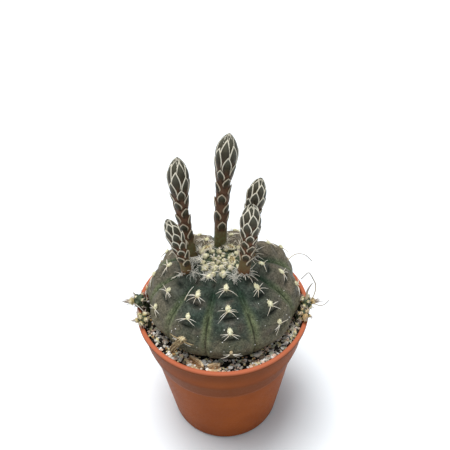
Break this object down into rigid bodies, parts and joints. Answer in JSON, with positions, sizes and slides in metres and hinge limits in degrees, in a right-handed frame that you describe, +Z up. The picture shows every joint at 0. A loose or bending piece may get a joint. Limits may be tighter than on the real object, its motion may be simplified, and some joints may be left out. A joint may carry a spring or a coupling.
{
  "type": "potted gymnocalycium ragonesei",
  "caption": "Small flattened ribbed cactus with long scaly flower buds, rooted in gritty soil in a round tapered plastic pot, to stand on a flat surface.",
  "frame": {"origin": "middle of the underside of the pot's base, on the surface that it stands on", "axes": "+Z up through the pot, -Y towards the front of the plant as pictured, +X to its right"},
  "size_m": [0.065, 0.055, 0.1068],
  "materials": {
    "pot": "satin moulded terracotta-coloured plastic",
    "soil": "black peat and bark with pale grit",
    "skin": "grey-brown to dark green plant skin with a satin sheen, cream areoles and spines",
    "wool": "cream plant wool with fine pale spines",
    "bud": "dark olive-brown scales with pale edges on a reddish tube",
    "dried": "dry tan-brown plant matter"
  },
  "bodies": {
    "root": {"pot": "pot", "soil": "soil", "cactus_body": "skin", "crown_wool": "wool", "bud_back_tall": "bud", "bud_left_tall": "bud", "bud_left_short": "bud", "bud_right_front": "bud", "bud_right_back": "bud", "offset_left": "wool", "offset_left_front": "wool", "offset_right": "wool", "offset_right_front": "wool", "dried_flower": "dried", "bark_chip_left": "dried", "bark_chip_right": "dried"}
  },
  "joints": []
}
